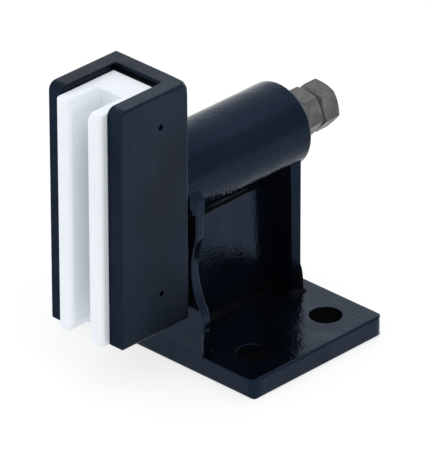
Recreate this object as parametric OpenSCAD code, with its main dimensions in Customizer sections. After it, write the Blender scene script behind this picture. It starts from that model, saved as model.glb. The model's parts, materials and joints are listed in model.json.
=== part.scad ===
// Sprung sliding guide shoe for a lift car.
// A channel-shaped head with a plastic liner runs on the guide rail. Its stem slides and turns in a
// barrel on a welded bracket, and a spring inside the barrel pushes the head towards the rail.
// Origin: centre of the bolt pattern on the underside of the base. +X runs back along the barrel,
// away from the rail, and +Z is up. Millimetres.

/* [Head] */
// Height of the channel, along the rail
head_h = 140; // [110:1:180]
// Width of the channel across its flanges
head_w = 53; // [48:0.5:64]
// Depth of the channel from its mouth to its back
head_d = 50; // [44:0.5:60]
// Thickness of the flanges and of the back
head_wall = 10; // [8:0.5:12]
// Rounding of the flanges' upper front corners, seen from the side
flange_r = 5; // [2:0.5:8]
// Rounding of the flanges' lower front corners, seen from the side
flange_low_r = 2; // [1:0.5:8]
// Rounding of the upright edges at the back
back_r = 3; // [0.5:0.5:5]

/* [Liner] */
// Depth of the liner's top below the rim of the channel
liner_recess = 3.5; // [2:0.5:10]
// How far the lips stand out in front of the flanges
lip_proud = 5; // [3:0.5:6]
// Width of the groove for the rail's blade
groove_w = 12; // [9:0.5:17]
// Depth of the groove from the front of the lips
groove_d = 24; // [18:0.5:30]
// Rounding of the lips' front edges
lip_r = 3; // [1:0.25:4.5]
// How far the groove flares out at each side of its two ends
groove_flare = 3; // [0.5:0.25:3.5]
// Length of the flare along the groove
flare_len = 5; // [3:0.5:8]
// Thickness of the rubber pad behind the liner
pad_t = 2.5; // [1.5:0.5:4]
// Diameter of the pins that hold the liner
pin_d = 3; // [2:0.5:5]
// Distance between the upper and the lower pins
pin_pitch = 98; // [80:1:105]
// Height of the middle between the pins above the barrel's axis
pin_rise = 2; // [-5:0.5:5]
// Distance of the pins from the back of the head
pin_back = 20.5; // [18:0.5:28]
// Depth of the pins' heads below the flange
pin_sunk = 0.8; // [0.2:0.1:1.5]
// How far the pins reach into the liner
pin_grip = 3; // [2:0.5:4]

/* [Barrel] */
// Outer diameter of the barrel
barrel_od = 48.3; // [44:0.1:52]
// Wall of the barrel
barrel_wall = 5; // [4:0.25:6]
// Distance from the base's rear end to the barrel's rear end
barrel_setback = 7.6; // [5:0.1:12]
// Height of the barrel's axis above the underside of the base
axis_h = 105; // [95:1:125]
// Chamfer of the barrel's rear rim
barrel_chamfer = 1; // [0.5:0.25:2]
// How far the barrel stands out in front of the front plate
barrel_proud = 2.5; // [0.5:0.1:3]
// Gap between the head and the barrel with the spring extended
head_gap = 1.5; // [1.3:0.1:5]
// Length of the bush at the front of the barrel
bush_len = 30; // [20:1:34]
// Depth of the bush below the barrel's front end
bush_sunk = 1; // [0.5:0.1:2]
// Length of the plug at the rear of the barrel
plug_len = 11; // [8:0.5:13]
// Depth of the plug below the barrel's rear end
plug_sunk = 2; // [1.5:0.5:3]
// Diameter of the plug's stop boss
boss_d = 33; // [30:0.5:36]
// How far the stop boss stands out behind the barrel
boss_len = 5.6; // [3:0.1:8]

/* [Stem and spring] */
// Diameter of the stem's journal in the bush
journal_d = 30; // [27:0.5:32]
// Diameter of the stem's spigot in the back of the head
spigot_d = 20; // [16:0.5:24]
// Diameter of the stem's rear rod
rod_d = 16; // [14:0.5:18]
// How far the rod stands out behind the lock nut
rod_proud = 2; // [1:0.5:6]
// Distance from the bush's rear end to the stem's shoulder
shoulder_run = 4; // [3.5:0.5:6]
// Thickness of the spring's thrust ring
seat_t = 3; // [2:0.5:5]
// Wire diameter of the spring
wire_d = 4; // [3:0.25:5]
// Outer diameter of the spring
spring_od = 31; // [28:0.5:34]
// Turns of the spring between its closed ends
spring_turns = 4; // [3:0.5:4.5]

/* [Nuts] */
// Width of the nuts across flats
nut_af = 24; // [22:0.5:27]
// Height of each nut
nut_h = 13; // [10:0.5:16]
// Outer diameter of the washer
washer_od = 30; // [28:0.5:32]
// Thickness of the washer
washer_t = 3; // [2:0.25:4]
// Turn of the adjusting nut about its axis
adjusting_turn = -7; // [-30:1:30]
// Turn of the lock nut about its axis
lock_turn = -12; // [-30:1:30]

/* [Base] */
// Length of the base along the barrel
base_l = 100; // [90:1:130]
// Width of the base
base_w = 140; // [125:1:160]
// Thickness of the base
base_t = 12; // [8:0.5:16]
// Rounding of the base's corners
base_r = 3; // [1:0.5:8]
// Distance of the bolt holes from the edges of the base
hole_margin = 22; // [16:0.5:24]
// Diameter of the bolt holes
hole_d = 18; // [12:0.5:20]

/* [Uprights] */
// Thickness of the front plate
front_t = 6; // [5:0.5:10]
// Thickness of the rear plate
rear_t = 8; // [6:0.5:10]
// Thickness of the web
web_t = 12; // [8:0.5:16]
// Width of the front plate at its foot
foot_w = 66; // [62:1:72]
// Height of the front plate's straight foot above the base
foot_h = 18; // [14:1:22]
// Width of the front plate at its waist
waist_w = 48.5; // [42:0.5:52]
// Width of each of the front plate's horns beside the barrel
horn_wall = 4; // [3:0.25:6]
// Depth of the front plate's top below the barrel's axis
horn_drop = 2; // [0:0.5:6]
// Radius of the concave sides of the front plate
waist_r = 42; // [38:1:50]
// Radius that blends the concave sides into the foot and the horns
blend_r = 20; // [10:1:24]
// Rounding of the front plate's top corners
horn_r = 2; // [1:0.25:2]
// Width of the rear plate
rear_w = 40; // [34:1:44]
// Distance of the rear plate from the barrel's rear end
rear_inset = 4; // [3:0.5:8]

/* [Welds] */
// Leg of the fillets on the base
base_leg = 4; // [3:0.5:5]
// Leg of the fillets round the barrel, on the uprights
barrel_leg = 3.5; // [2:0.25:3.75]
// Leg of the fillets under the barrel, along the web
under_leg = 5.5; // [3:0.25:7]

/* [Clearances] */
// Radial clearance of the stem in its bearings
running_gap = 0.05; // [0.02:0.01:0.1]
// Radial clearance of pieces that are pressed or welded in
seat_gap = 0.05; // [0.02:0.01:0.1]
// Clearance of the liner in the channel, on each side
liner_gap = 0.1; // [0.05:0.05:0.3]
// Clearance of the spring and its thrust ring from the rod and the barrel
spring_gap = 0.4; // [0.3:0.1:0.8]

/* [Hidden] */
$fn = 96;
// Overlap of a cut with the space around the piece
eps = 1;
// Largest rounding of a wall, as a share of its thickness
round_share = 0.45;
// Gap between the closed turns at the spring's ends
coil_gap = 0.25;
// Diameter of a nut's chamfered face, as a share of its width across flats
nut_face_share = 0.95;
// Angle of a nut's chamfer
nut_chamfer_angle = 30;
// Turn of the chamfer's start from the middle of a flat
nut_seam = 7;

paint = "#1b1e24";
steel = "#8d8a84";
plastic = "#f2f3f5";
bronze = "#b08d57";
rubber = "#141414";

// Places along the barrel, from the front to the rear
bracket_x = -base_l / 2;
upright_x = bracket_x + front_t;
barrel_x = bracket_x - barrel_proud;
barrel_end_x = base_l / 2 - barrel_setback;
barrel_len = barrel_end_x - barrel_x;
head_back_x = barrel_x - head_gap;
head_front_x = head_back_x - head_d;
channel_x = head_back_x - head_wall;
liner_front_x = head_front_x - lip_proud;
liner_back_x = channel_x - pad_t;
bush_x = barrel_x + bush_sunk;
shoulder_x = bush_x + bush_len + shoulder_run;
plug_end_x = barrel_end_x - plug_sunk;
plug_x = plug_end_x - plug_len;
spring_x = shoulder_x + seat_t;
spring_len = plug_x - spring_x;
washer_x = barrel_end_x + boss_len;
nut_x = washer_x + washer_t;
lock_x = nut_x + nut_h;
rod_end_x = lock_x + nut_h + rod_proud;
rear_x = barrel_end_x - rear_inset;
rear_front_x = rear_x - rear_t;

// Heights above the underside of the base
head_z = axis_h - head_h / 2;
liner_h = head_h - liner_recess;
liner_top_z = head_z + liner_h;
horn_z = axis_h - horn_drop;
foot_top_z = base_t + foot_h;

// Radii and widths
barrel_r = barrel_od / 2;
bore_r = barrel_r - barrel_wall;
rod_r = rod_d / 2;
journal_r = journal_d / 2;
cradle_r = barrel_r + seat_gap;
horn_w = barrel_od + 2 * horn_wall;
channel_w = head_w - 2 * head_wall;
liner_w = channel_w - 2 * liner_gap;
spring_r = (spring_od - wire_d) / 2;
waist_y = waist_w / 2 + waist_r;
waist_z = foot_top_z + blend_rise(foot_w / 2);

// Height between the waist and the end of a straight edge at the distance y from the middle, when an
// arc of blend_r joins that edge to the concave side
function blend_rise(y) = sqrt(pow(waist_r + blend_r, 2) - pow(waist_y - y + blend_r, 2));

// Height of the underside of a cylinder round the barrel's axis, at the distance y from the middle
function below_barrel(r, y) = axis_h - sqrt(pow(r, 2) - pow(y, 2));

// Rectangle from a corner, with its four corners rounded
module rounded_rect(size, r) {
    translate([r, 0]) square([size[0] - 2 * r, size[1]]);
    translate([0, r]) square([size[0], size[1] - 2 * r]);
    for (x = [r, size[0] - r], y = [r, size[1] - r]) translate([x, y]) circle(r);
}

// Puts a solid that is drawn along +Z on the barrel's axis, along +X from the place x
module along_barrel(x) {
    translate([x, 0, axis_h]) rotate([0, 90, 0]) children();
}

// Round bar on the barrel's axis
module bar(x, len, r) {
    along_barrel(x) cylinder(h = len, r = r);
}

// Ring on the barrel's axis
module ring(x, len, r_out, r_in) {
    along_barrel(x) difference() {
        cylinder(h = len, r = r_out);
        translate([0, 0, -eps]) cylinder(h = len + 2 * eps, r = r_in);
    }
}

// Places its children at both sides, as mirror images
module both_sides() {
    children();
    mirror([0, 1, 0]) children();
}

// Upright plate drawn as an outline of the width (Y) and the height (Z), t thick from the place x
module upright(x, t) {
    translate([x, 0, 0]) rotate([90, 0, 90]) linear_extrude(t) children();
}

// Bores and pins that hold the liner, at the given distance from the middle and with the given length
module pin_row(r, from_y, len) {
    for (side = [1, -1], level = [1, -1])
        translate([head_back_x - pin_back, side * from_y, axis_h + pin_rise + level * pin_pitch / 2])
            rotate([-90 * side, 0, 0]) cylinder(h = len, r = r);
}

// Side outline of the head, with its two front corners rounded: depth along X, height along Y
module head_side() {
    middle = head_h / 2;
    for (half = [[flange_r, 0], [flange_low_r, 1]]) {
        r = half[0];
        translate([0, middle]) mirror([0, half[1]]) {
            translate([r, 0]) square([head_d - r, middle]);
            square([head_d, middle - r]);
            translate([r, middle - r]) circle(r);
        }
    }
}

// Channel seen from above, with its back edges rounded
module head_section() {
    difference() {
        union() {
            translate([0, -head_w / 2]) square([head_d - back_r, head_w]);
            translate([0, back_r - head_w / 2]) square([head_d, head_w - 2 * back_r]);
            for (y = [-1, 1]) translate([head_d - back_r, y * (head_w / 2 - back_r)]) circle(back_r);
        }
        translate([-eps, -channel_w / 2]) square([head_d - head_wall + eps, channel_w]);
    }
}

module shoe_head() {
    color(paint) difference() {
        intersection() {
            translate([head_front_x, 0, head_z]) linear_extrude(head_h) head_section();
            translate([head_front_x, head_w, head_z]) rotate([90, 0, 0])
                linear_extrude(2 * head_w) head_side();
        }
        bar(channel_x - eps, head_wall + 2 * eps, spigot_d / 2 + seat_gap);
        pin_row(pin_d / 2 + seat_gap, channel_w / 2 - eps, head_wall + 2 * eps);
    }
}

// Liner seen from above: a block with rounded lips on both sides of the groove
module liner_section() {
    depth = liner_back_x - liner_front_x;
    lip_w = (liner_w - groove_w) / 2;
    r = min(lip_r, round_share * lip_w);
    translate([groove_d, -liner_w / 2]) square([depth - groove_d, liner_w]);
    for (side = [-1, 1]) translate([0, side * (groove_w + lip_w) / 2 - lip_w / 2]) {
        translate([r, 0]) square([groove_d - r, lip_w]);
        translate([0, r]) square([r, lip_w - 2 * r]);
        for (y = [r, lip_w - r]) translate([r, y]) circle(r);
    }
}

// Flare that opens the groove at its upper end, drawn around the end's edge
module groove_flare_cut() {
    half = groove_w / 2;
    slope = groove_flare / flare_len;
    wide = half + groove_flare + slope * eps;
    translate([liner_front_x - eps, 0, 0]) rotate([90, 0, 90]) linear_extrude(groove_d + eps)
        polygon([[-half, -flare_len], [half, -flare_len], [wide, eps], [-wide, eps]]);
}

module liner() {
    color(plastic) difference() {
        translate([liner_front_x, 0, head_z]) linear_extrude(liner_h) liner_section();
        translate([0, 0, liner_top_z]) groove_flare_cut();
        translate([0, 0, head_z]) mirror([0, 0, 1]) groove_flare_cut();
        pin_row(pin_d / 2 + seat_gap, channel_w / 2 - pin_grip - seat_gap, pin_grip + eps);
    }
}

// Rubber pad between the liner and the back of the channel
module liner_pad() {
    color(rubber) translate([liner_back_x, -liner_w / 2, head_z]) cube([pad_t, liner_w, liner_h]);
}

module liner_pins() {
    color(paint) pin_row(pin_d / 2, channel_w / 2 - pin_grip, pin_grip + head_wall - pin_sunk);
}

module stem() {
    color(steel) {
        bar(channel_x, head_wall, spigot_d / 2);
        bar(head_back_x, shoulder_x - head_back_x, journal_r);
        bar(shoulder_x, rod_end_x - shoulder_x, rod_r);
    }
}

module guide_bush() {
    color(bronze) ring(bush_x, bush_len, bore_r - seat_gap, journal_r + running_gap);
}

module spring_seat() {
    color(steel) ring(shoulder_x, seat_t, bore_r - spring_gap, rod_r + running_gap);
}

// Distance along the spring after t turns: a closed turn at each end and open turns between them
function coil_rise(t) =
    let (closed = wire_d + coil_gap,
         open = (spring_len - wire_d - 2 * closed) / spring_turns)
    t < 1 ? t * closed
    : t < 1 + spring_turns ? closed + (t - 1) * open
    : closed + spring_turns * open + (t - 1 - spring_turns) * closed;

// Corner k of the wire's section after t turns, with the coil along +Z
function coil_point(t, k, sides) =
    let (a = 360 * t,
         b = 360 * k / sides,
         r = spring_r + wire_d / 2 * cos(b))
    [r * cos(a), r * sin(a), wire_d / 2 + coil_rise(t) + wire_d / 2 * sin(b)];

module spring() {
    sides = 8;
    steps_per_turn = 20;
    last = ceil((spring_turns + 2) * steps_per_turn);
    points = [for (i = [0 : last], k = [0 : sides - 1])
        coil_point(i / last * (spring_turns + 2), k, sides)];
    skin = [for (i = [0 : last - 1], k = [0 : sides - 1])
        let (n = (k + 1) % sides)
        [i * sides + k, (i + 1) * sides + k, (i + 1) * sides + n, i * sides + n]];
    front = [[for (k = [0 : sides - 1]) k]];
    rear = [[for (k = [sides - 1 : -1 : 0]) last * sides + k]];
    color(steel) along_barrel(spring_x) polyhedron(points, concat(skin, front, rear));
}

module barrel() {
    rim_r = barrel_r - barrel_chamfer;
    color(paint) along_barrel(barrel_x) rotate_extrude() polygon([[bore_r, 0], [barrel_r, 0],
        [barrel_r, barrel_len - barrel_chamfer], [rim_r, barrel_len], [bore_r, barrel_len]]);
}

// Plug with its stop boss, which the washer rests on
module end_cap() {
    color(paint) difference() {
        union() {
            bar(plug_x, plug_len, bore_r - seat_gap);
            bar(plug_end_x - eps, plug_sunk + boss_len + eps, boss_d / 2);
        }
        bar(plug_x - eps, plug_len + plug_sunk + boss_len + 2 * eps, rod_r + running_gap);
    }
}

// Ring weld in the corner between the plug and the barrel
module end_cap_weld() {
    r = bore_r - seat_gap;
    leg = min(plug_sunk, r - seat_gap - boss_d / 2);
    color(paint) along_barrel(plug_end_x) rotate_extrude() polygon([[r - leg, 0], [r, 0], [r, leg]]);
}

module flat_washer() {
    color(steel) ring(washer_x, washer_t, washer_od / 2, rod_r + seat_gap);
}

// Hexagon nut with both ends chamfered
module nut(x, turn) {
    corner_r = nut_af / 2 / cos(30);
    face_r = nut_af / 2 * nut_face_share;
    chamfer = (corner_r + eps - face_r) * tan(nut_chamfer_angle);
    difference() {
        along_barrel(x) rotate(turn) intersection() {
            rotate(90) cylinder(h = nut_h, r = corner_r, $fn = 6);
            rotate(nut_seam) rotate_extrude() polygon([[0, 0], [face_r, 0], [corner_r + eps, chamfer],
                [corner_r + eps, nut_h - chamfer], [face_r, nut_h], [0, nut_h]]);
        }
        bar(x - eps, nut_h + 2 * eps, rod_r + seat_gap);
    }
}

module adjusting_nut() {
    color(steel) nut(nut_x, adjusting_turn);
}

module lock_nut() {
    color(steel) nut(lock_x, lock_turn);
}

module base_plate() {
    color(paint) difference() {
        translate([bracket_x, -base_w / 2, 0]) linear_extrude(base_t) rounded_rect([base_l, base_w], base_r);
        for (x = [-1, 1], y = [-1, 1])
            translate([x * (base_l / 2 - hole_margin), y * (base_w / 2 - hole_margin), -eps])
                cylinder(h = base_t + 2 * eps, r = hole_d / 2);
    }
}

// What is cut off beside the waist so that a straight edge at the distance y, below or above it,
// runs smoothly into the concave side
module blend_cut(y, up) {
    rise = blend_rise(y);
    share = blend_r / (blend_r + waist_r);
    meet_y = y - blend_r + share * (waist_y - y + blend_r);
    translate([0, waist_z]) mirror([0, up ? 0 : 1]) difference() {
        translate([meet_y, (1 - share) * rise]) square([y - meet_y + eps, share * rise]);
        translate([y - blend_r, rise]) circle(blend_r);
    }
}

// Front plate: a straight foot, concave sides and two horns that cradle the barrel
module front_outline() {
    difference() {
        union() {
            translate([-foot_w / 2, base_t]) square([foot_w, waist_z - base_t]);
            translate([-horn_w / 2, waist_z - eps]) square([horn_w, horn_z - horn_r - waist_z + eps]);
            translate([horn_r - horn_w / 2, waist_z]) square([horn_w - 2 * horn_r, horn_z - waist_z]);
            for (side = [-1, 1]) translate([side * (horn_w / 2 - horn_r), horn_z - horn_r]) circle(horn_r);
        }
        for (side = [0, 1]) mirror([side, 0]) {
            translate([waist_y, waist_z]) circle(waist_r);
            blend_cut(foot_w / 2, false);
            blend_cut(horn_w / 2, true);
        }
        translate([0, axis_h]) circle(cradle_r);
    }
}

module front_plate() {
    color(paint) upright(bracket_x, front_t) front_outline();
}

module rear_plate() {
    color(paint) upright(rear_front_x, rear_t) difference() {
        translate([-rear_w / 2, base_t]) square([rear_w, axis_h - base_t]);
        translate([0, axis_h]) circle(cradle_r);
    }
}

module web_plate() {
    color(paint) upright(upright_x, rear_front_x - upright_x) difference() {
        translate([-web_t / 2, base_t]) square([web_t, axis_h - base_t]);
        translate([0, axis_h]) circle(cradle_r);
    }
}

// Triangular fillet along +X, in the corner of a floor below and a wall at its -Y side
module fillet_x(len, leg) {
    rotate([90, 0, 90]) linear_extrude(len) polygon([[0, 0], [leg, 0], [0, leg]]);
}

// Triangular fillet along +Y, in the corner of a floor below and a wall at its -X side
module fillet_y(len, leg) {
    translate([0, len, 0]) rotate([90, 0, 0]) linear_extrude(len) polygon([[0, 0], [leg, 0], [0, leg]]);
}

// Quarter cone that carries a fillet round a plate's outer corner, to the +X or the -X side
module weld_corner(flip) {
    mirror([flip, 0, 0]) rotate_extrude(angle = 90) polygon([[0, 0], [base_leg, 0], [0, base_leg]]);
}

// Fillets on top of the base, along the uprights and the web
module base_welds() {
    web_y = web_t / 2;
    color(paint) translate([0, 0, base_t]) both_sides() {
        translate([upright_x, web_y, 0]) fillet_x(rear_front_x - upright_x, base_leg);
        translate([upright_x, web_y, 0]) fillet_y(foot_w / 2 - web_y, base_leg);
        translate([rear_front_x, web_y, 0]) mirror([1, 0, 0]) fillet_y(rear_w / 2 - web_y, base_leg);
        translate([rear_x, 0, 0]) fillet_y(rear_w / 2, base_leg);
        translate([rear_front_x, rear_w / 2, 0]) fillet_x(rear_t, base_leg);
        for (x = [rear_front_x, rear_x]) translate([x, rear_w / 2, 0]) weld_corner(x == rear_x ? 0 : 1);
    }
}

// Fillet round the barrel on one face of an upright, towards +X or -X, as far as w and up to the height z
module barrel_fillet(x, towards, leg, w, z) {
    intersection() {
        along_barrel(x) mirror([0, 0, towards > 0 ? 0 : 1]) rotate_extrude()
            polygon([[cradle_r, 0], [cradle_r + leg, 0], [cradle_r, leg]]);
        translate([x - leg, -w / 2, 0]) cube([2 * leg, w, z]);
    }
}

// Fillets between the web's sides and the underside of the barrel, between the fillets on the uprights
module web_top_fillets() {
    web_y = web_t / 2;
    low_z = below_barrel(cradle_r, web_y) - under_leg;
    toe_z = below_barrel(cradle_r, web_y + under_leg);
    from_x = upright_x + barrel_leg;
    both_sides() upright(from_x, rear_front_x - barrel_leg - from_x) difference() {
        polygon([[web_y, low_z], [web_y + 2 * under_leg, 2 * toe_z - low_z], [web_y, axis_h]]);
        translate([0, axis_h]) circle(cradle_r);
    }
}

// Fillets on top of the front plate's horns, up the sides of the barrel
module horn_fillets() {
    toe_y = horn_w / 2 - horn_r;
    slope = barrel_leg / (toe_y - cradle_r);
    from_y = cradle_r - eps;
    both_sides() upright(bracket_x, front_t) difference() {
        polygon([[from_y, horn_z], [toe_y, horn_z], [from_y, horn_z + slope * (toe_y - from_y)]]);
        translate([0, axis_h]) circle(cradle_r);
    }
}

// Fillets that join the barrel to the uprights and to the web
module barrel_welds() {
    rear_weld_w = rear_w - 2 * barrel_leg;
    color(paint) {
        barrel_fillet(bracket_x, -1, barrel_proud, horn_w, horn_z - horn_r);
        difference() {
            barrel_fillet(upright_x, 1, barrel_leg, horn_w, horn_z - horn_r);
            translate([upright_x - eps, -web_t / 2, 0]) cube([barrel_leg + 2 * eps, web_t, axis_h]);
        }
        difference() {
            barrel_fillet(rear_front_x, -1, barrel_leg, rear_weld_w, axis_h);
            translate([rear_front_x - barrel_leg - eps, -web_t / 2, 0])
                cube([barrel_leg + 2 * eps, web_t, axis_h]);
        }
        barrel_fillet(rear_x, 1, barrel_leg, rear_weld_w, axis_h);
        web_top_fillets();
        horn_fillets();
    }
}

shoe_head();
liner();
liner_pad();
liner_pins();
stem();
guide_bush();
spring_seat();
spring();
barrel();
end_cap();
end_cap_weld();
flat_washer();
adjusting_nut();
lock_nut();
base_plate();
front_plate();
rear_plate();
web_plate();
base_welds();
barrel_welds();
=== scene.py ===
"""Finishes, weld beads, thread and studio for the sprung guide shoe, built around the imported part."""

import json
import math

import bmesh
import bpy
import numpy as np
from mathutils import Matrix, Vector, noise


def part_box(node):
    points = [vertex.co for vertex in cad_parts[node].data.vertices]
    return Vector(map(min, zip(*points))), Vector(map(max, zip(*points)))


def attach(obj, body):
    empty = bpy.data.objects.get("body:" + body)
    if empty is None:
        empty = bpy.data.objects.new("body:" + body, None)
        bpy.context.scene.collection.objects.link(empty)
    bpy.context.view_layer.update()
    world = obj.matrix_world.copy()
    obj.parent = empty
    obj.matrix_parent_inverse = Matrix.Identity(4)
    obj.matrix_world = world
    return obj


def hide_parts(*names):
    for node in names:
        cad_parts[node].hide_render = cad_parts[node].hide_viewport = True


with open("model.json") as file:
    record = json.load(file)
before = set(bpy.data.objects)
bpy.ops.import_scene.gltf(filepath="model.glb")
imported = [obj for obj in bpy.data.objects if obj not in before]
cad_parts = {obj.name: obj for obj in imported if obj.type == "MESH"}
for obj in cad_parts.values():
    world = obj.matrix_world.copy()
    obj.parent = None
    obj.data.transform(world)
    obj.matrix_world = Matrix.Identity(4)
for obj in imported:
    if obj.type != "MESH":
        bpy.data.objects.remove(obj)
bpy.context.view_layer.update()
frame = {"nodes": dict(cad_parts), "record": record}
nodes = frame["nodes"]

# A millimetre in metres, and a metre in millimetres
MM, TO_MM = 0.001, 1000

# Which body each piece rides on and which finish it has, from the record
BODY_OF = {node: body for body, members in frame["record"]["behaviour"]["bodies"].items() for node in members}
SLOT_OF = {s["node"]: s["material_slot"] for s in frame["record"]["subparts"]}


def box_mm(node):
    """Lowest and highest corner of a CAD node, in millimetres."""
    lo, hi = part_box(node)
    return lo * TO_MM, hi * TO_MM


# Places and sizes from the frame, in millimetres
BASE_LO, BASE_HI = box_mm("base_plate")
FRONT_LO, FRONT_HI = box_mm("front_plate")
REAR_LO, REAR_HI = box_mm("rear_plate")
WEB_LO, WEB_HI = box_mm("web_plate")
BARREL_LO, BARREL_HI = box_mm("barrel")
HEAD_LO, HEAD_HI = box_mm("shoe_head")
LINER_LO, LINER_HI = box_mm("liner")
PINS_LO, PINS_HI = box_mm("liner_pins")
AXIS_Z = (BARREL_LO.z + BARREL_HI.z) / 2
BARREL_R = (BARREL_HI.z - BARREL_LO.z) / 2
PIN_X = (PINS_LO.x + PINS_HI.x) / 2
PIN_R = (PINS_HI.x - PINS_LO.x) / 2
PIN_HEIGHTS = (PINS_LO.z + PIN_R, PINS_HI.z - PIN_R)

# Sizes that the frame's boxes don't give, in millimetres
BARREL_WALL = 5.0
HORN_WALL = 4.0
HOLE_X, HOLE_Y, HOLE_R = 28.0, 48.0, 9.0
LIP_R, GROOVE_DEEP, GROOVE_HALF = 3.0, 24.0, 6.0

HORN_Y = BARREL_R + HORN_WALL
HOLES = [(x, y) for x in (-HOLE_X, HOLE_X) for y in (-HOLE_Y, HOLE_Y)]


class Finish:
    """A material with a Principled shader, and short ways to add nodes to it."""

    def __init__(self, name):
        self.material = bpy.data.materials.new(name)
        self.material.use_nodes = True
        self.tree = self.material.node_tree
        self.shader = self.tree.nodes["Principled BSDF"]
        self.coords = self.tree.nodes.new("ShaderNodeTexCoord").outputs["Object"]

    def set(self, **values):
        """Sets inputs of the shader, named with _ for a space."""
        for key, value in values.items():
            self.shader.inputs[key.replace("_", " ")].default_value = value

    def link(self, out, socket):
        """Links a node's output to an input of the shader."""
        self.tree.links.new(out, self.shader.inputs[socket])

    def noise(self, scale, detail=2.0, rough=0.5, stretch=(1, 1, 1), turn=(0, 0, 0)):
        """A noise pattern, which stretch and turn can make run one way."""
        mapping = self.tree.nodes.new("ShaderNodeMapping")
        mapping.inputs["Scale"].default_value = stretch
        mapping.inputs["Rotation"].default_value = turn
        self.tree.links.new(self.coords, mapping.inputs["Vector"])
        node = self.tree.nodes.new("ShaderNodeTexNoise")
        node.inputs["Scale"].default_value = scale
        node.inputs["Detail"].default_value = detail
        node.inputs["Roughness"].default_value = rough
        self.tree.links.new(mapping.outputs["Vector"], node.inputs["Vector"])
        return node.outputs["Fac"]

    def spread(self, value, lo, hi, to_lo=0.0, to_hi=1.0):
        """A value carried over from one range to another."""
        node = self.tree.nodes.new("ShaderNodeMapRange")
        self.tree.links.new(value, node.inputs["Value"])
        for key, number in (("From Min", lo), ("From Max", hi), ("To Min", to_lo), ("To Max", to_hi)):
            node.inputs[key].default_value = number
        return node.outputs["Result"]

    def mix(self, share, a, b):
        """A colour between a and b, each of which is a colour or a node's output."""
        node = self.tree.nodes.new("ShaderNodeMix")
        node.data_type = "RGBA"
        self.tree.links.new(share, node.inputs[0])
        for index, value in ((6, a), (7, b)):
            if isinstance(value, tuple):
                node.inputs[index].default_value = (*value, 1)
            else:
                self.tree.links.new(value, node.inputs[index])
        return node.outputs[2]

    def bump(self, height, distance, below=None):
        """A normal from a pattern of heights, over another normal if one is given; distance in metres."""
        node = self.tree.nodes.new("ShaderNodeBump")
        node.inputs["Distance"].default_value = distance
        self.tree.links.new(height, node.inputs["Height"])
        if below is not None:
            self.tree.links.new(below, node.inputs["Normal"])
        return node.outputs["Normal"]


def paint_finish(name, smooth, rough, grain, edge=0.95, patch=38, thin=1.0):
    """Blue-black paint, brushed and sprayed on thick: orange peel, slow waves and uneven gloss.

    The roughness lies between smooth and rough, and grain is the depth of the orange peel in metres. edge is
    the brightness at a flat angle, patch the scale of the change in tone, and thin a factor on the darker
    tone.
    """
    f = Finish(name)
    f.set(Metallic=0.85, IOR=1.3, Specular_Tint=(edge, edge * 1.03, edge * 1.06, 1))
    tone = f.spread(f.noise(patch, 3), 0.35, 0.65)
    dark = tuple(c * thin for c in (0.0082, 0.0147, 0.0278))
    f.link(f.mix(tone, dark, (0.0115, 0.0189, 0.0340)), "Base Color")
    f.link(f.spread(f.noise(70, 3, 0.6), 0.3, 0.7, smooth, rough), "Roughness")
    waves = f.bump(f.noise(55, 1, 0.4, (1, 1, 0.4)), 0.0006)
    brushed = f.bump(f.noise(260, 2, 0.5, (1, 1, 0.07), (0, 0.35, 0)), 0.00006, waves)
    f.link(f.bump(f.noise(560, 2, 0.55), grain, brushed), "Normal")
    return f.material


def painted_shade_finish(name, gloss):
    """Near-black paint that barely reflects: painted shade on the welds and inside the bolt holes."""
    f = Finish(name)
    f.set(Specular_IOR_Level=gloss, Specular_Tint=(0.7, 0.85, 1.0, 1))
    f.link(f.mix(f.noise(90, 2), (0.0004, 0.0006, 0.0010), (0.0016, 0.0020, 0.0028)), "Base Color")
    f.link(f.spread(f.noise(200, 2), 0.3, 0.7, 0.45, 0.7), "Roughness")
    f.link(f.bump(f.noise(700, 2), 0.00008), "Normal")
    return f.material


def plastic_finish():
    """White sliding plastic: faintly mottled, with fine drawing lines along the groove."""
    f = Finish("white_liner_plastic")
    f.set(IOR=1.45)
    tone = f.spread(f.noise(45, 3), 0.3, 0.7)
    f.link(f.mix(tone, (0.765, 0.80, 0.835), (0.795, 0.83, 0.86)), "Base Color")
    f.link(f.spread(f.noise(120, 2), 0.3, 0.7, 0.36, 0.5), "Roughness")
    lines = f.bump(f.noise(900, 2, 0.5, (1, 1, 0.03)), 0.00003)
    f.link(f.bump(f.noise(350, 2), 0.00002, lines), "Normal")
    return f.material


def steel_finish():
    """Dull plain steel with a thin brown bloom and handling marks."""
    f = Finish("dull_plain_steel")
    f.set(Metallic=0.85)
    grain = f.spread(f.noise(160, 4, 0.6), 0.3, 0.7)
    bloom = f.spread(f.noise(70, 3, 0.55), 0.45, 0.7)
    ground = f.mix(grain, (0.09, 0.09, 0.09), (0.18, 0.182, 0.185))
    f.link(f.mix(bloom, ground, (0.105, 0.09, 0.08)), "Base Color")
    f.link(f.spread(f.noise(220, 3), 0.3, 0.7, 0.34, 0.55), "Roughness")
    f.link(f.bump(f.noise(700, 3, 0.6), 0.00005), "Normal")
    return f.material


def rubber_finish():
    """Matte black rubber sheet."""
    f = Finish("black_rubber_sheet")
    f.set(Specular_IOR_Level=0.12)
    tone = f.spread(f.noise(90, 3), 0.3, 0.7)
    f.link(f.mix(tone, (0.0012, 0.0015, 0.0020), (0.0030, 0.0035, 0.0042)), "Base Color")
    f.link(f.spread(f.noise(300, 2), 0.3, 0.7, 0.6, 0.8), "Roughness")
    f.link(f.bump(f.noise(1200, 2), 0.00003), "Normal")
    return f.material


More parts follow.
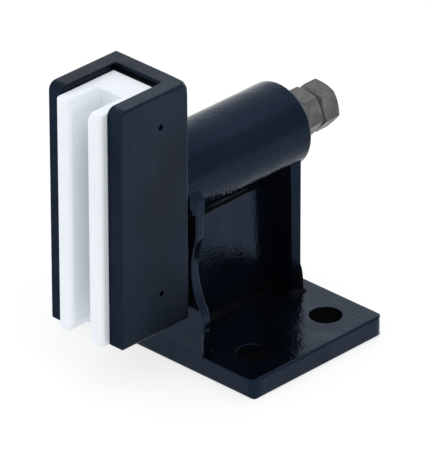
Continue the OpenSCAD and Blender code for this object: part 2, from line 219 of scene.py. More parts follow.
def bronze_finish():
    """Turned bearing bronze."""
    f = Finish("turned_bronze")
    f.set(Metallic=1.0)
    tone = f.spread(f.noise(80, 3), 0.3, 0.7)
    f.link(f.mix(tone, (0.42, 0.27, 0.11), (0.55, 0.37, 0.17)), "Base Color")
    f.link(f.spread(f.noise(260, 2), 0.3, 0.7, 0.25, 0.42), "Roughness")
    f.link(f.bump(f.noise(900, 2, 0.5, (6, 0.1, 0.1)), 0.00003), "Normal")
    return f.material


FINISH = {
    "black_paint": paint_finish("gloss_black_paint", 0.09, 0.19, 0.00016),
    "white_plastic": plastic_finish(),
    "plain_steel": steel_finish(),
    "black_rubber": rubber_finish(),
    "bronze": bronze_finish(),
}
# Other coats of the black paint: on the barrel, and on the head and its pins. A copy with dimmed reflections
# paints shade on the rear plate and the front edges of the head, and near-black paint that barely reflects
# paints shade on the welds and inside the bolt holes.
WET = paint_finish("wet_black_paint", 0.05, 0.11, 0.00022, edge=0.82)
SATIN = paint_finish("satin_black_paint", 0.30, 0.42, 0.00006, patch=17, thin=0.62)
SHADED_PAINT = paint_finish("shaded_black_paint", 0.32, 0.44, 0.00008, edge=0.45)
WELD_SHADE = painted_shade_finish("weld_painted_shade", 0.05)
HOLE_SHADE = painted_shade_finish("hole_painted_shade", 0.04)

# Name of the modifier that keeps flat faces flat in the light beside rounded edges
FLATS = "flat flats"


def piece(name, mesh, node):
    """A new object that stands for a node, rides on its body and takes its finish."""
    obj = bpy.data.objects.new(name, mesh)
    bpy.context.scene.collection.objects.link(obj)
    mesh.materials.clear()
    mesh.materials.append(FINISH[SLOT_OF[node]])
    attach(obj, BODY_OF[node])
    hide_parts(node)
    return obj


def mesh_from(bm, name):
    """A mesh from a bmesh, with its faces turned outwards."""
    bmesh.ops.recalc_face_normals(bm, faces=bm.faces[:])
    mesh = bpy.data.meshes.new(name)
    bm.to_mesh(mesh)
    bm.free()
    return mesh


def filled(verts, faces):
    """A bmesh from lists of places in metres and of faces."""
    bm = bmesh.new()
    made = [bm.verts.new(v) for v in verts]
    for face in faces:
        bm.faces.new([made[i] for i in face])
    return bm


def bands(rings, count):
    """Faces that join neighbouring rings of count places each, listed one ring after the other."""
    faces = []
    for i in range(rings - 1):
        for k in range(count):
            m = (k + 1) % count
            faces.append((i * count + k, i * count + m, (i + 1) * count + m, (i + 1) * count + k))
    return faces


def ends(rings, count):
    """Faces that close the first and the last of such rings."""
    return [tuple(range(count)), tuple(range((rings - 1) * count, rings * count))]


def smoothed(mesh, angle):
    """Shades a mesh smoothly, except across edges sharper than the angle."""
    for face in mesh.polygons:
        face.use_smooth = True
    mesh.set_sharp_from_angle(angle=math.radians(angle))
    return mesh


def smooth_piece(bm, node, angle=40):
    """A piece that is shaded smoothly, except across edges sharper than the angle."""
    return piece(node + "_shape", smoothed(mesh_from(bm, node + "_shape"), angle), node)


def rounded_piece(bm, node, width, segments=4, share=None, angle=28):
    """A piece whose edges sharper than the angle are rounded, by the width in mm.

    share(place) gives each edge's part of the width, from 0 to 1.
    """
    weights = bm.edges.layers.float.new("bevel_weight_edge")
    for edge in bm.edges:
        if edge.calc_face_angle(0) > math.radians(angle):
            middle = (edge.verts[0].co + edge.verts[1].co) / 2 * TO_MM
            edge[weights] = share(middle) if share else 1
    obj = piece(node + "_shape", mesh_from(bm, node + "_shape"), node)
    bevel = obj.modifiers.new("rounded edges", "BEVEL")
    bevel.width = width * MM
    bevel.segments = segments
    bevel.limit_method = "WEIGHT"
    bevel.miter_outer = "MITER_ARC"
    bevel.use_clamp_overlap = False
    obj.modifiers.new(FLATS, "WEIGHTED_NORMAL")
    for face in obj.data.polygons:
        face.use_smooth = True
    return obj


def whole_faces(node, move=None):
    """A CAD node's shape with its triangles joined into whole faces; move(place) may shift corners, in mm."""
    source = nodes[node].data
    bm = bmesh.new()
    places = [v.co if move is None else Vector(move(v.co * TO_MM)) * MM for v in source.vertices]
    verts = [bm.verts.new(p) for p in places]
    for p in source.polygons:
        corners = [verts[i] for i in p.vertices]
        if len(set(corners)) == len(corners):
            bm.faces.new(corners)
    bmesh.ops.remove_doubles(bm, verts=bm.verts[:], dist=0.004 * MM)
    bmesh.ops.dissolve_degenerate(bm, edges=bm.edges[:], dist=0.002 * MM)
    bmesh.ops.dissolve_limit(bm, angle_limit=math.radians(0.6), verts=bm.verts[:], edges=bm.edges[:])
    return bm


def cut_along(bm, place, way):
    """Cuts all faces along the plane through a place in metres that faces the given way; both sides stay."""
    parts = bm.verts[:] + bm.edges[:] + bm.faces[:]
    bmesh.ops.bisect_plane(bm, geom=parts, plane_co=place, plane_no=way, dist=0.001 * MM)


def ground_corner(obj, corner, reach, soft):
    """Grinds one outer corner of the rounded head off along a slope, then evens it out.

    The slope begins at the distance reach from the corner. soft is what the rounding takes off both sides of
    an edge there. Both are in mm.
    """
    steps, slack, passes = 7, 0.01, 2
    sign = Vector([math.copysign(1, c - m) for c, m in zip(corner, (HEAD_HI + HEAD_LO) / 2)])
    obj.modifiers.remove(obj.modifiers[FLATS])
    rounded = bpy.data.meshes.new_from_object(obj.evaluated_get(bpy.context.evaluated_depsgraph_get()))
    bm = bmesh.new()
    bm.from_mesh(rounded)
    bpy.data.meshes.remove(rounded)
    # Fine cuts near the corner, without the first two steps, which lie in the rounding; the faces are made
    # convex first, so that they cut cleanly
    bmesh.ops.connect_verts_concave(bm, faces=bm.faces[:])
    for axis in range(3):
        for depth in np.linspace(0, reach, steps)[2:]:
            place, way = Vector(corner), Vector((0, 0, 0))
            place[axis] -= sign[axis] * depth
            way[axis] = 1
            cut_along(bm, place * MM, way)
    touched = []
    for v in bm.verts:
        depths = [(corner[k] - v.co[k] * TO_MM) * sign[k] for k in range(3)]
        if max(depths) < reach + slack:
            over = sum(reach - d for d in depths) - 2 * (reach - soft)
            v.co -= sign * (max(0, over) / 3 * MM)
            touched.append(v)
    for _ in range(passes):
        bmesh.ops.smooth_vert(bm, verts=touched, factor=0.5,
                              use_axis_x=True, use_axis_y=True, use_axis_z=True)
    bm.to_mesh(obj.data)
    bm.free()
    obj.modifiers.clear()
    obj.modifiers.new(FLATS, "WEIGHTED_NORMAL")


def head_piece():
    """The channel, with softly broken edges all round and one corner ground off."""
    back_r, low_r, edge, slack = 3.0, 2.0, 1.3, 0.01
    bore_share, inner_share = 0.25, 0.6
    inside = LINER_HI.y + 0.2

    def squared(p):
        """Makes the back edges and the lower front corners square, for the softer rounding below."""
        if p.x > HEAD_HI.x - back_r - slack and abs(p.y) > HEAD_HI.y - back_r - slack:
            return (HEAD_HI.x, math.copysign(HEAD_HI.y, p.y), p.z)
        if p.x < HEAD_LO.x + low_r + slack and p.z < HEAD_LO.z + low_r + slack:
            return (HEAD_LO.x, p.y, HEAD_LO.z)
        return p

    def share(p):
        """The pins' bores and the inside of the channel have finer edges."""
        if min(math.hypot(p.x - PIN_X, p.z - z) for z in PIN_HEIGHTS) < PIN_R + 0.5:
            return bore_share
        return inner_share if abs(p.y) < inside else 1

    def on_cut(seam):
        return any(max(abs(v.co.z * TO_MM - z) for v in seam.verts) < slack for z in PIN_HEIGHTS)

    # Level cuts through the pins stand in for the slanting seams between the faces round their bores
    bm = whole_faces("shoe_head", squared)
    for z in PIN_HEIGHTS:
        cut_along(bm, (0, 0, z * MM), (0, 0, 1))
    seams = [e for e in bm.edges if e.calc_face_angle(1) < 0.001 and not on_cut(e)]
    bmesh.ops.dissolve_edges(bm, edges=seams)
    obj = rounded_piece(bm, "shoe_head", edge, 5, share)
    obj.data.materials[0] = SATIN
    # The front faces of the flanges take the copy of the paint with dimmed reflections: painted shade
    obj.data.materials.append(SHADED_PAINT)
    for f in obj.data.polygons:
        if f.normal.x < -0.9 and f.center.x * TO_MM < HEAD_LO.x + 0.1:
            f.material_index = 1
    ground_corner(obj, Vector((HEAD_HI.x, HEAD_LO.y, HEAD_HI.z)), reach=3.6, soft=0.38)


def pin_piece():
    """The liner's pins, driven in below the face of the flanges."""
    sunk, edge = 0.9, 0.5

    def driven(p):
        at_end = abs(p.y) > PINS_HI.y - 1
        return (p.x, p.y - math.copysign(sunk, p.y), p.z) if at_end else p

    obj = rounded_piece(whole_faces("liner_pins", driven), "liner_pins", edge, 3)
    obj.data.materials[0] = SATIN


def liner_outline(inset, half):
    """The liner seen from above, drawn in by an inset, with the groove's half width: places in mm."""
    turns = 9

    def lip(centre_y, start):
        angles = np.radians(np.linspace(start, start + 90, turns))
        r = LIP_R - inset
        return [(LINER_LO.x + LIP_R + r * math.cos(a), centre_y + r * math.sin(a)) for a in angles]

    line = [(LINER_HI.x, LINER_HI.y - inset)]
    line += lip(LINER_HI.y - LIP_R, 90) + lip(half + LIP_R, 180)
    line += [(LINER_LO.x + GROOVE_DEEP + inset, half + inset)]
    return line + [(x, -y) for x, y in reversed(line)]


def liner_piece():
    """The liner: rounded lips, softly broken ends, and a groove that flares smoothly at both ends."""
    soft, flare, flare_len, flare_power = 1.0, 3.0, 6.5, 1.7
    soft_steps, flare_steps, plain_levels = 5, 14, [20.0, 45.0]
    tall = LINER_HI.z - LINER_LO.z
    levels = [soft * (1 - math.cos(math.pi / 2 * i / soft_steps)) for i in range(soft_steps)]
    levels += list(np.linspace(soft, flare_len, flare_steps)) + plain_levels
    levels = levels + [tall - z for z in reversed(levels)]
    verts = []
    for level in levels:
        near_end = min(level, tall - level)
        edge = max(0, 1 - near_end / soft)
        inset = soft * (1 - math.sqrt(max(0, 1 - edge ** 2)))
        half = GROOVE_HALF + flare * max(0, 1 - near_end / flare_len) ** flare_power
        verts += [(x * MM, y * MM, (LINER_LO.z + level) * MM) for x, y in liner_outline(inset, half)]
    count = len(verts) // len(levels)
    smooth_piece(filled(verts, bands(len(levels), count) + ends(len(levels), count)), "liner")


def drilled_base(rim):
    """A bmesh of the base plate: a cell round each hole, plain cells between, and rounded hole rims."""
    count, margin, turns = 64, 13.0, 5
    eighth = count // 8
    verts, faces = [], []

    def face(*corners):
        faces.append(tuple(range(len(verts), len(verts) + len(corners))))
        verts.extend(tuple(c * MM for c in p) for p in corners)

    def on_rim(hole, k, r, z):
        a = 2 * math.pi * k / count
        return (hole[0] + r * math.cos(a), hole[1] + r * math.sin(a), z)

    def spans(axis):
        """Stretches between the plate's edges and both sides of each row of holes."""
        sides = [h + s * margin for h in sorted({p[axis] for p in HOLES}) for s in (-1, 1)]
        lines = [BASE_LO[axis]] + sides + [BASE_HI[axis]]
        return list(zip(lines, lines[1:]))

    def holed_cell(hole, corners, z):
        """Joins a cell's corners to the rim of its hole."""
        def at(k):
            return on_rim(hole, k, HOLE_R + rim, z)

        for side in range(4):
            first = (side * 2 - 1) * eighth
            middle = first + eighth
            p, q = corners[side], corners[(side + 1) % 4]
            face(p, q, at(middle))
            for k in range(eighth):
                face(p, at(first + k + 1), at(first + k))
                face(q, at(middle + k + 1), at(middle + k))

    for z in (BASE_LO.z, BASE_HI.z):
        for x0, x1 in spans(0):
            for y0, y1 in spans(1):
                corners = [(x1, y0, z), (x1, y1, z), (x0, y1, z), (x0, y0, z)]
                inside = [h for h in HOLES if x0 < h[0] < x1 and y0 < h[1] < y1]
                if inside:
                    holed_cell(inside[0], corners, z)
                else:
                    face(*corners)
    quarter = np.linspace(0, math.pi / 2, turns)
    rows = [(HOLE_R + rim * (1 - math.sin(a)), rim * (1 - math.cos(a))) for a in quarter]
    rows = [(r, BASE_HI.z - d) for r, d in rows] + [(r, BASE_LO.z + d) for r, d in reversed(rows)]
    for hole in HOLES:
        for (r0, z0), (r1, z1) in zip(rows, rows[1:]):
            for k in range(count):
                face(on_rim(hole, k, r0, z0), on_rim(hole, k + 1, r0, z0),
                     on_rim(hole, k + 1, r1, z1), on_rim(hole, k, r1, z1))
    for x in (BASE_LO.x, BASE_HI.x):
        for y0, y1 in spans(1):
            face((x, y0, BASE_LO.z), (x, y1, BASE_LO.z), (x, y1, BASE_HI.z), (x, y0, BASE_HI.z))
    for y in (BASE_LO.y, BASE_HI.y):
        for x0, x1 in spans(0):
            face((x0, y, BASE_LO.z), (x1, y, BASE_LO.z), (x1, y, BASE_HI.z), (x0, y, BASE_HI.z))
    bm = filled(verts, faces)
    bmesh.ops.remove_doubles(bm, verts=bm.verts[:], dist=0.002 * MM)
    return bm


def base_piece():
    """The base plate: round corners, soft edges and hole rims, and painted shade inside the holes."""
    corner_r, edge_share, rim = 5.0, 0.3, 0.4
    middle_z = (BASE_LO.z + BASE_HI.z) / 2

    def share(p):
        """Only the upright edges, which have their middle at half height, get the whole width."""
        return 1 if abs(p.z - middle_z) < 1 else edge_share

    obj = rounded_piece(drilled_base(rim), "base_plate", corner_r, 6, share)
    # The walls of the holes take near-black paint that barely reflects: painted shade in the holes
    obj.data.materials.append(HOLE_SHADE)
    for f in obj.data.polygons:
        centre = f.center * TO_MM
        to_hole = min(math.hypot(centre.x - x, centre.y - y) for x, y in HOLES)
        if abs(f.normal.z) < 0.5 and to_hole < HOLE_R + rim:
            f.material_index = 1


def upright_share(p):
    """Edges at the foot stay square and the ones in the cradle nearly so; welds cover both."""
    foot, cradle, cradle_share = BASE_HI.z + 0.1, BARREL_R + 0.3, 0.25
    if p.z < foot:
        return 0
    return cradle_share if math.hypot(p.y, p.z - AXIS_Z) < cradle else 1


def web_piece():
    """The web: a plate that the welds have bowed a little towards the near side, low down."""
    bow, low, sunk, rows = 1.2, 0.3, 1.6, 28
    top = AXIS_Z - BARREL_R + sunk
    corners = ((WEB_LO.x, WEB_LO.y), (WEB_HI.x, WEB_LO.y), (WEB_HI.x, WEB_HI.y), (WEB_LO.x, WEB_HI.y))
    verts = []
    for level in np.linspace(0, 1, rows):
        share = level / low if level < low else (1 - level) / (1 - low)
        y = -bow * math.sin(math.pi / 2 * share) ** 2
        z = WEB_LO.z + level * (top - WEB_LO.z)
        verts += [(cx * MM, (cy + y) * MM, z * MM) for cx, cy in corners]
    count = len(corners)
    smooth_piece(filled(verts, bands(rows, count) + ends(rows, count)), "web_plate")


def along(points, step):
    """Points at nearly even steps along a line of points."""
    points = np.array(points, float)
    lengths = np.r_[0, np.cumsum(np.linalg.norm(np.diff(points, axis=0), axis=1))]
    count = max(2, int(round(lengths[-1] / step)) + 1)
    at = np.linspace(0, lengths[-1], count)
    return np.stack([np.interp(at, lengths, points[:, k]) for k in range(points.shape[1])], 1)


def wobble(s, seed, row):
    """Smooth random value between about -1 and 1 at the distance s."""
    return noise.noise(Vector((s, seed, row)))


class Beads:
    """Gathers weld beads into one mesh; sizes are in mm."""

    # Places across a bead, how deep its toes lie in the plates, and the step along it
    ACROSS, SUNK, STEP = 9, 0.35, 0.4
    # Uneven legs: how much they change, over what length, and in which row of the noise
    UNEVEN = ((0.10, 7, 0.3), (0.05, 2.3, 5))
    # Open ends: the length over which a bead tapers, and where on that length it starts
    TAPER, TIP = 2.5, 0.15
    # Ripples: how far their middle trails and how much they drift, in ripples, and the drift's length and row
    TRAIL, DRIFT, DRIFT_LEN, DRIFT_ROW = 0.42, 0.25, 5, 9
    # How far the bead's crown stands out towards both plates
    CROWN = 1.4

    def __init__(self):
        self.verts, self.faces = [], []

    def run(self, corner, out, up, leg, leg_up=None, seed=0.0, pitch=1.8, loop=False,
            bulge=0.12, ripple=0.06):
        """One bead along a corner line: its toes run out along one face and up along the other."""
        corner, out, up = (np.array(a, float) for a in (corner, out, up))
        n = len(corner)
        leg = np.broadcast_to(np.array(leg, float), (n,))
        leg_up = leg if leg_up is None else np.broadcast_to(np.array(leg_up, float), (n,))
        middle = corner + (out * leg[:, None] + up * leg_up[:, None]) / 3
        at = np.r_[0, np.cumsum(np.linalg.norm(np.diff(middle, axis=0), axis=1))]
        first = len(self.verts)
        for i in range(n):
            s = at[i]
            uneven = 1 + sum(part * wobble(s / length, seed, row) for part, length, row in self.UNEVEN)
            taper = 1.0 if loop else min(1, math.sqrt((min(s, at[-1] - s) + self.TIP) / self.TAPER))
            a, b = leg[i] * uneven * taper, leg_up[i] * uneven * taper
            size = 2 * a * b / (a + b)
            drift = self.DRIFT * wobble(s / self.DRIFT_LEN, seed, self.DRIFT_ROW)
            self.verts.append(corner[i] - self.SUNK * (out[i] + up[i]))
            for k, share in enumerate(np.linspace(0, 1, self.ACROSS)):
                lag = self.TRAIL * (1 - (2 * share - 1) ** 2)
                wave = 0.5 + 0.5 * math.cos(2 * math.pi * (s / pitch - lag + drift))
                high = size * math.sin(math.pi * share) * (bulge + ripple * wave)
                u = a * (1 - share) + high * b / (a + b) * self.CROWN
                v = b * share + high * a / (a + b) * self.CROWN
                if k == 0:
                    v -= self.SUNK
                if k == self.ACROSS - 1:
                    u -= self.SUNK
                self.verts.append(corner[i] + out[i] * u + up[i] * v)
        ring = self.ACROSS + 1
        for i in range(n if loop else n - 1):
            p, q = first + i * ring, first + (i + 1) % n * ring
            for k in range(ring):
                m = (k + 1) % ring
                self.faces.append((p + k, p + m, q + m, q + k))
        if not loop:
            self.faces += [tuple(first + i for i in end) for end in ends(n, ring)]

    def straight(self, start, end, out, up, leg, **kw):
        """A bead between two places; leg(places) gives its leg along the way."""
        corner = along([start, end], self.STEP)
        count = len(corner)
        self.run(corner, np.tile(out, (count, 1)), np.tile(up, (count, 1)), leg(corner), **kw)

    def arc(self, x, r, start, end, towards, leg, inward=False, **kw):
        """A bead round the barrel's axis at the place x, from angle to angle (degrees from straight down)."""
        count = max(8, int(abs(math.radians(end - start)) * r / self.STEP))
        angles = np.radians(np.linspace(start, end, count, endpoint=not kw.get("loop", False)))
        spoke = np.stack([0 * angles, np.sin(angles), -np.cos(angles)], 1)
        corner = spoke * r + np.array([x, 0, AXIS_Z])
        self.run(corner, -spoke if inward else spoke, np.tile((towards, 0, 0), (count, 1)), leg, **kw)

    def block(self, lo, hi):
        """A plain filling between two corners."""
        first = len(self.verts)
        xs, ys, zs = zip(lo, hi)
        self.verts += [np.array((x, y, z)) for x in xs for y in ys for z in zs]
        sides = ((0, 1, 3, 2), (4, 6, 7, 5), (0, 4, 5, 1), (2, 3, 7, 6), (0, 2, 6, 4), (1, 5, 7, 3))
        self.faces += [tuple(first + i for i in side) for side in sides]

    def make(self, name, node, finish=None):
        """Makes one piece of all the beads, with the node's own finish unless another is given."""
        mesh = mesh_from(filled([tuple(v * MM) for v in self.verts], self.faces), name)
        obj = piece(name, smoothed(mesh, 50), node)
        if finish:
            obj.data.materials[0] = finish


def foot_line(points):
    """The foot of the walls on the base: places and outward directions, with rounded inner corners."""
    inner, step, turns = 2.2, 0.45, 9
    places, outs = [], []
    points = [np.array(p, float) for p in points]
    steps = [(q - p) / np.linalg.norm(q - p) for p, q in zip(points, points[1:])]
    normals = [np.array([d[1], -d[0]]) for d in steps]

    def is_inner(j):
        return 0 <= j < len(steps) - 1 and steps[j][0] * steps[j + 1][1] - steps[j][1] * steps[j + 1][0] < 0

    for i, (p, q, d, n) in enumerate(zip(points, points[1:], steps, normals)):
        start = p + d * inner if is_inner(i - 1) else p
        stop = q - d * inner if is_inner(i) else q
        line = along([start, stop], step)
        places += list(line)
        outs += [n] * len(line)
        if i < len(steps) - 1:
            centre = q + inner * (n + normals[i + 1])
            for angle in np.linspace(0, math.pi / 2, turns)[1:-1]:
                way = n * math.cos(angle) + normals[i + 1] * math.sin(angle)
                places.append(centre - inner * way if is_inner(i) else q)
                outs.append(way)
    return np.array([(x, y, BASE_HI.z) for x, y in places]), np.array([(x, y, 0) for x, y in outs])


def base_beads():
    """Welds along the feet of the uprights and the web, and a slim lump up the rear plate's near corner."""
    leg, lump_leg, lump_tall, lump_r, lump_end = 3.4, 1.2, 15.5, 4, 3.6
    web, rear, foot = WEB_HI.y, REAR_HI.y, FRONT_HI.y
    f, r0, r1 = FRONT_HI.x, REAR_LO.x, REAR_HI.x
    places, outs = foot_line([(f, -foot), (f, -web), (r0, -web), (r0, -rear), (r1, -rear), (r1, rear),
                              (r0, rear), (r0, web), (f, web), (f, foot)])
    ups = np.tile((0, 0, 1.0), (len(places), 1))
    beads = Beads()
    beads.run(places, outs, ups, leg, seed=1.0, bulge=0.04, ripple=0.03)
    far = np.linalg.norm(places[:, :2] - np.array([r1, -rear]), axis=1)
    near = far < lump_end
    tall = lump_tall * np.sqrt(1 - (far[near] / lump_r) ** 2)
    beads.run(places[near], outs[near], ups[near], lump_leg, tall, seed=3.0, pitch=4.0,
              bulge=0.12, ripple=0.05)
    # The welds take the near-black paint that barely reflects: painted shade along the joints
    beads.make("base_beads", "base_welds", WELD_SHADE)
    # The seam below the front plate is dressed flush with the front of the base
    proud, deep, short, down, high = 0.04, 3, 1.2, 2, 1.5
    seam = Beads()
    seam.block((FRONT_LO.x - proud, FRONT_LO.y + short, BASE_HI.z - down),
               (FRONT_LO.x + deep, FRONT_HI.y - short, BASE_HI.z + high))
    seam.make("base_seam", "base_welds")


def barrel_beads():
    """Welds that join the barrel to the plates and the web."""
    horn_leg, rear_leg, front_leg, web_up = 3.5, 3.3, 2.2, 5.2
    horn_stop, rear_stop = 0.8, 3.5
    web_angle = math.degrees(math.asin(WEB_HI.y / BARREL_R))
    horn_angle = math.degrees(math.acos((AXIS_Z - FRONT_HI.z + horn_stop) / BARREL_R))
    rear_angle = math.degrees(math.asin((REAR_HI.y - rear_stop) / BARREL_R))

    def web_leg(places):
        """The bead along the web is heaviest at the front plate."""
        leg, more, fade = 5.0, 3.2, 8
        return leg + more * np.exp((FRONT_HI.x - places[:, 0]) / fade)

    beads = Beads()
    for i, side in enumerate((-1, 1)):
        beads.arc(FRONT_HI.x, BARREL_R, side * web_angle, side * horn_angle, 1, horn_leg, seed=20.0 + i)
        beads.arc(REAR_LO.x, BARREL_R, side * web_angle, side * rear_angle, -1, rear_leg, seed=24.0 + i)
        y = side * WEB_HI.y
        z = AXIS_Z - math.sqrt(BARREL_R ** 2 - y ** 2)
        beads.straight((FRONT_HI.x, y, z), (REAR_LO.x, y, z), (0, 0, -1), (0, side, 0.4), web_leg,
                       leg_up=web_up, seed=28.0 + i, bulge=0.03, ripple=0.02)
    beads.arc(REAR_HI.x, BARREL_R, -rear_angle, rear_angle, 1, rear_leg, seed=31.0)
    beads.arc(FRONT_LO.x, BARREL_R, -horn_angle, horn_angle, -1, front_leg, seed=33.0, bulge=0.1, pitch=1.5)
    # The welds take the near-black paint that barely reflects: painted shade along the joints round the
    # barrel
    beads.make("barrel_beads", "barrel_welds", WELD_SHADE)


def horn_caps():
    """Weld metal dressed flush with the horns: it fills their front and slopes up to the barrel's sides."""
    proud, fill, edge, slant = 0.05, 2.4, 1.0, 1.5
    rear, low, full = FRONT_HI.x + proud, FRONT_HI.z - 12, FRONT_HI.z - 7
    # Each section: its place across, how far its front is filled, and how far its top rises above the horn
    sections = ((HORN_Y + proud, -0.4, -1.2), (HORN_Y - 2.6, fill, 2.2), (BARREL_R - 1.5, fill, 5.5))

    def outline(y, filling, rise):
        top, front = FRONT_HI.z + rise, FRONT_LO.x - filling
        line = [(rear, low), (rear, top), (front, top), (front, full), (FRONT_LO.x + slant, low)]
        return [(x * MM, y * MM, z * MM) for x, z in line]

    bm = bmesh.new()
    for side in (-1, 1):
        rings = [[bm.verts.new(p) for p in outline(side * y, *rest)] for y, *rest in sections]
        bm.faces.new(rings[0])
        bm.faces.new(rings[-1])
        for near, deep in zip(rings, rings[1:]):
            for k in range(len(near)):
                m = (k + 1) % len(near)
                bm.faces.new((near[k], near[m], deep[m], deep[k]))

    def share(p):
        return 1 if p.z > low + 0.1 and abs(p.y) > BARREL_R else 0

    obj = rounded_piece(bm, "barrel_welds", edge, 4, share, 12)
    obj.data.set_sharp_from_angle(angle=math.radians(40))
    obj.modifiers[FLATS].keep_sharp = True


def end_cap_bead():
    """Ring weld between the plug and the barrel's bore."""
    lo, hi = box_mm("end_cap_weld")
    beads = Beads()
    beads.arc(lo.x, (hi.z - lo.z) / 2, 0, 360, 1, hi.x - lo.x, inward=True, seed=40.0, pitch=1.7, loop=True)
    beads.make("end_cap_bead", "end_cap_weld")


def spun(rows, count):
    """Places and faces from rows of (x, radius) round the barrel's axis; both may depend on the angle."""
    verts = []
    for x, r in rows:
        for k in range(count):
            a = 2 * math.pi * k / count
            xx = x(a) if callable(x) else x
            rr = r(a) if callable(r) else r
            verts.append((xx * MM, rr * math.sin(a) * MM, (AXIS_Z - rr * math.cos(a)) * MM))
    return verts, bands(len(rows), count)


def barrel_piece():
    """The barrel: a roughly cut front rim and a soft rear rim."""
    soft, rough, turns, count = 1.7, 0.7, 8, 192
    bore, front_lip, rear_lip = BARREL_R - BARREL_WALL, 0.6, 0.5
    plain, plain_rows = 2.5, 30
    wave, notch, wave_scale, notch_scale = 0.28, 0.12, 9, 3.1

    def ragged(deep):
        def place(a):
            way = Vector((math.cos(a), math.sin(a), 0)) * wave_scale
            uneven = wave * (1 + noise.noise(way)) + notch * noise.noise(way * notch_scale)
            return BARREL_LO.x + deep + uneven
        return place

    rows = [(BARREL_LO.x + front_lip / 2, bore), (ragged(0), bore + front_lip)]
    for i in range(turns + 1):
        a = math.pi / 2 * i / turns
        rows.append((ragged(rough * (1 - math.cos(a))), BARREL_R - rough * (1 - math.sin(a))))
    for x in np.linspace(BARREL_LO.x + plain, BARREL_HI.x - soft, plain_rows):
        rows.append((float(x), BARREL_R))
    for i in range(1, turns + 1):
        a = math.pi / 2 * i / turns
        rows.append((BARREL_HI.x - soft * (1 - math.sin(a)), BARREL_R - soft * (1 - math.cos(a))))
    rows += [(BARREL_HI.x, bore + rear_lip), (BARREL_HI.x - rear_lip, bore), rows[0]]
    bm = filled(*spun(rows, count))
    bmesh.ops.remove_doubles(bm, verts=bm.verts[:], dist=0.0005 * MM)
    smooth_piece(bm, "barrel").data.materials[0] = WET


def nut_piece(node, turn):
    """A hexagon nut, turned by degrees, with curved chamfers on both ends and a countersunk bore."""
    lo, hi = box_mm(node)
    flat, bore, sink, edge, slope, count = 12.0, 8.05, 0.7, 0.5, math.radians(30), 360
    face = 0.85 * flat
    shift = math.radians(90 + turn)

    def hex_r(a):
        return flat / math.cos((a + shift) % (math.pi / 3) - math.pi / 6)

    def drop(a):
        return (hex_r(a) - face) * math.tan(slope)

    rows = [
        (lo.x + sink, bore), (lo.x, bore + sink), (lo.x, face), (lambda a: lo.x + drop(a), hex_r),
        (lambda a: hi.x - drop(a), hex_r), (hi.x, face), (hi.x, bore + sink), (hi.x - sink, bore),
        (lo.x + sink, bore),
    ]
    bm = filled(*spun(rows, count))
    bmesh.ops.remove_doubles(bm, verts=bm.verts[:], dist=0.001 * MM)
    bmesh.ops.dissolve_limit(bm, angle_limit=math.radians(0.3), verts=bm.verts[:], edges=bm.edges[:])
    rounded_piece(bm, node, edge, 3, angle=20)


def stem_piece():
    """The stem: spigot, journal, rod, and the thread that shows behind the lock nut."""
    lo, hi = box_mm("stem")
    shoulder = box_mm("spring_seat")[0].x
    journal = (hi.z - lo.z) / 2
    rod, spigot, middle, chamfer, count = 8.0, 10.0, 0.02, 1.2, 96
    pitch, depth, thread, thread_rows, run_in, slack = 2.0, 1.1, 7.0, 44, 1.5, 0.03
    flank, crest = 2.6, 0.12

    def thread_radius(x):
        def radius(a):
            phase = (x / pitch - a / (2 * math.pi)) % 1
            ridge = min(1, max(0, flank * abs(phase - 0.5) - crest))
            grown = min(1, max(0, (x - hi.x + thread) / run_in))
            return min(rod - max(0, chamfer - (hi.x - x)), rod - slack - depth * (1 - ridge) * grown)
        return radius

    rows = [(lo.x, middle), (lo.x, spigot), (HEAD_HI.x, spigot), (HEAD_HI.x, journal), (shoulder, journal),
            (shoulder, rod), (hi.x - thread - 0.4, rod)]
    for x in np.linspace(hi.x - thread, hi.x, thread_rows):
        rows.append((float(x), thread_radius(float(x))))
    rows.append((hi.x, middle))
    verts, faces = spun(rows, count)
    smooth_piece(filled(verts, faces + ends(len(rows), count)), "stem", 32)


head_piece()
pin_piece()
liner_piece()
base_piece()
barrel_piece()
web_piece()
rounded_piece(whole_faces("front_plate"), "front_plate", 1.3, 4, upright_share)
rear_plate = rounded_piece(whole_faces("rear_plate"), "rear_plate", 0.7, 4, upright_share)
# The rear plate takes the copy of the paint with dimmed reflections: painted shade
rear_plate.data.materials[0] = SHADED_PAINT
for name, width in {"liner_pad": 0.3, "end_cap": 0.6, "flat_washer": 0.3}.items():
    rounded_piece(whole_faces(name), name, width, 3)
base_beads()
barrel_beads()
horn_caps()
end_cap_bead()
nut_piece("adjusting_nut", -7)
nut_piece("lock_nut", -12)
stem_piece()

# Pieces that keep their CAD shape
for name in ("guide_bush", "spring_seat", "spring"):
    mesh = nodes[name].data
    mesh.materials.clear()
    mesh.materials.append(FINISH[SLOT_OF[name]])


def floor_finish():
    """Plain white studio floor, lit from below as a light table is."""
    f = Finish("studio_floor")
    tone = f.spread(f.noise(3, 2), 0.3, 0.7)
    f.link(f.mix(tone, (0.31, 0.31, 0.31), (0.33, 0.33, 0.33)), "Base Color")
    f.set(Roughness=0.9, Specular_IOR_Level=0.0, Emission_Color=(1, 1, 1, 1), Emission_Strength=0.70)
    return f.material


# The floor lies a hair below the base, in metres
FLOOR_HALF, FLOOR_Z = 4.0, -0.0002
floor = bpy.data.meshes.new("floor")
corners = [(x * FLOOR_HALF, y * FLOOR_HALF, 0) for x, y in ((-1, -1), (1, -1), (1, 1), (-1, 1))]
floor.from_pydata(corners, [], [(0, 1, 2, 3)])
floor.materials.append(floor_finish())
ground = bpy.data.objects.new("floor", floor)
ground.location.z = FLOOR_Z
bpy.context.scene.collection.objects.link(ground)

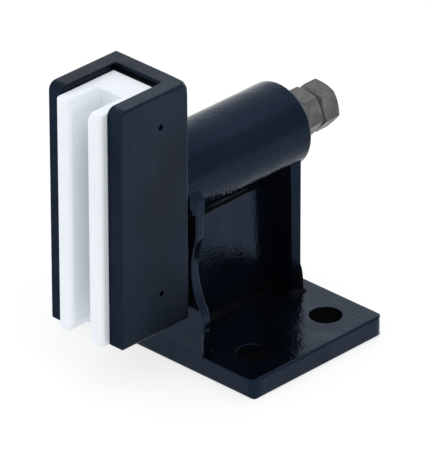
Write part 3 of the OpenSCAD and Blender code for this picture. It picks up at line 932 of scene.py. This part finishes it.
# The room is darker on the near side than above and behind
world = bpy.data.worlds.new("studio")
world.use_nodes = True
tree = world.node_tree
sky = tree.nodes["Background"]
sky.inputs["Color"].default_value = (0.96, 0.98, 1.0, 1)
coords = tree.nodes.new("ShaderNodeTexCoord")
way = tree.nodes.new("ShaderNodeSeparateXYZ")
shade = tree.nodes.new("ShaderNodeMapRange")
for key, value in (("From Min", -0.42), ("From Max", -0.35), ("To Min", 0.72), ("To Max", 1.15)):
    shade.inputs[key].default_value = value
tree.links.new(coords.outputs["Generated"], way.inputs["Vector"])
tree.links.new(way.outputs["Y"], shade.inputs["Value"])
tree.links.new(shade.outputs["Result"], sky.inputs["Strength"])
bpy.context.scene.world = world
bpy.context.scene.view_settings.view_transform = "Standard"


def softbox(name, place, aim, size, power):
    """A square area light that points at a place, in metres and watts."""
    data = bpy.data.lights.new(name, "AREA")
    data.shape = "SQUARE"
    data.size = size
    data.energy = power
    lamp = bpy.data.objects.new(name, data)
    lamp.location = place
    lamp.rotation_euler = (Vector(aim) - Vector(place)).to_track_quat("-Z", "Y").to_euler()
    bpy.context.scene.collection.objects.link(lamp)


softbox("key", (-0.6, -1.3, 1.9), (0, 0, 0.08), size=1.2, power=9)

# The camera was fitted to the photograph's edges: it stands EYE_FAR metres from a point near the part's
# middle, and looks past it at the middle of the frame, which lies OFF_CENTRE pixels to the right of it and
# below it
AZIMUTH, ELEVATION, ROLL = (math.radians(a) for a in (45.735, 28.27, -0.202))
MIDDLE, EYE_FAR = Vector((-0.029, -0.010, 0.095)), 3.636
FRAME_W, FOCAL, OFF_CENTRE = 432, 6904.7, (16.3, 33.8)
flat = math.cos(ELEVATION)
forward = Vector((math.sin(AZIMUTH) * flat, math.cos(AZIMUTH) * flat, -math.sin(ELEVATION)))
level = Vector((math.cos(AZIMUTH), -math.sin(AZIMUTH), 0.0))
right = level * math.cos(ROLL) + level.cross(forward) * math.sin(ROLL)
up = right.cross(forward)
eye = MIDDLE - forward * EYE_FAR
gaze = (forward * FOCAL + right * OFF_CENTRE[0] - up * OFF_CENTRE[1]).normalized()
side = (right - gaze * right.dot(gaze)).normalized()
camera = bpy.data.cameras.new("camera")
camera.sensor_width = 36
camera.sensor_fit = "HORIZONTAL"
camera.lens = FOCAL / FRAME_W * camera.sensor_width
camera.clip_start = 0.1
camera.clip_end = 50
viewer = bpy.data.objects.new("camera", camera)
viewer.matrix_world = Matrix.Translation(eye) @ Matrix((side, side.cross(gaze), -gaze)).transposed().to_4x4()
bpy.context.scene.collection.objects.link(viewer)
bpy.context.scene.camera = viewer

bpy.context.view_layer.update()
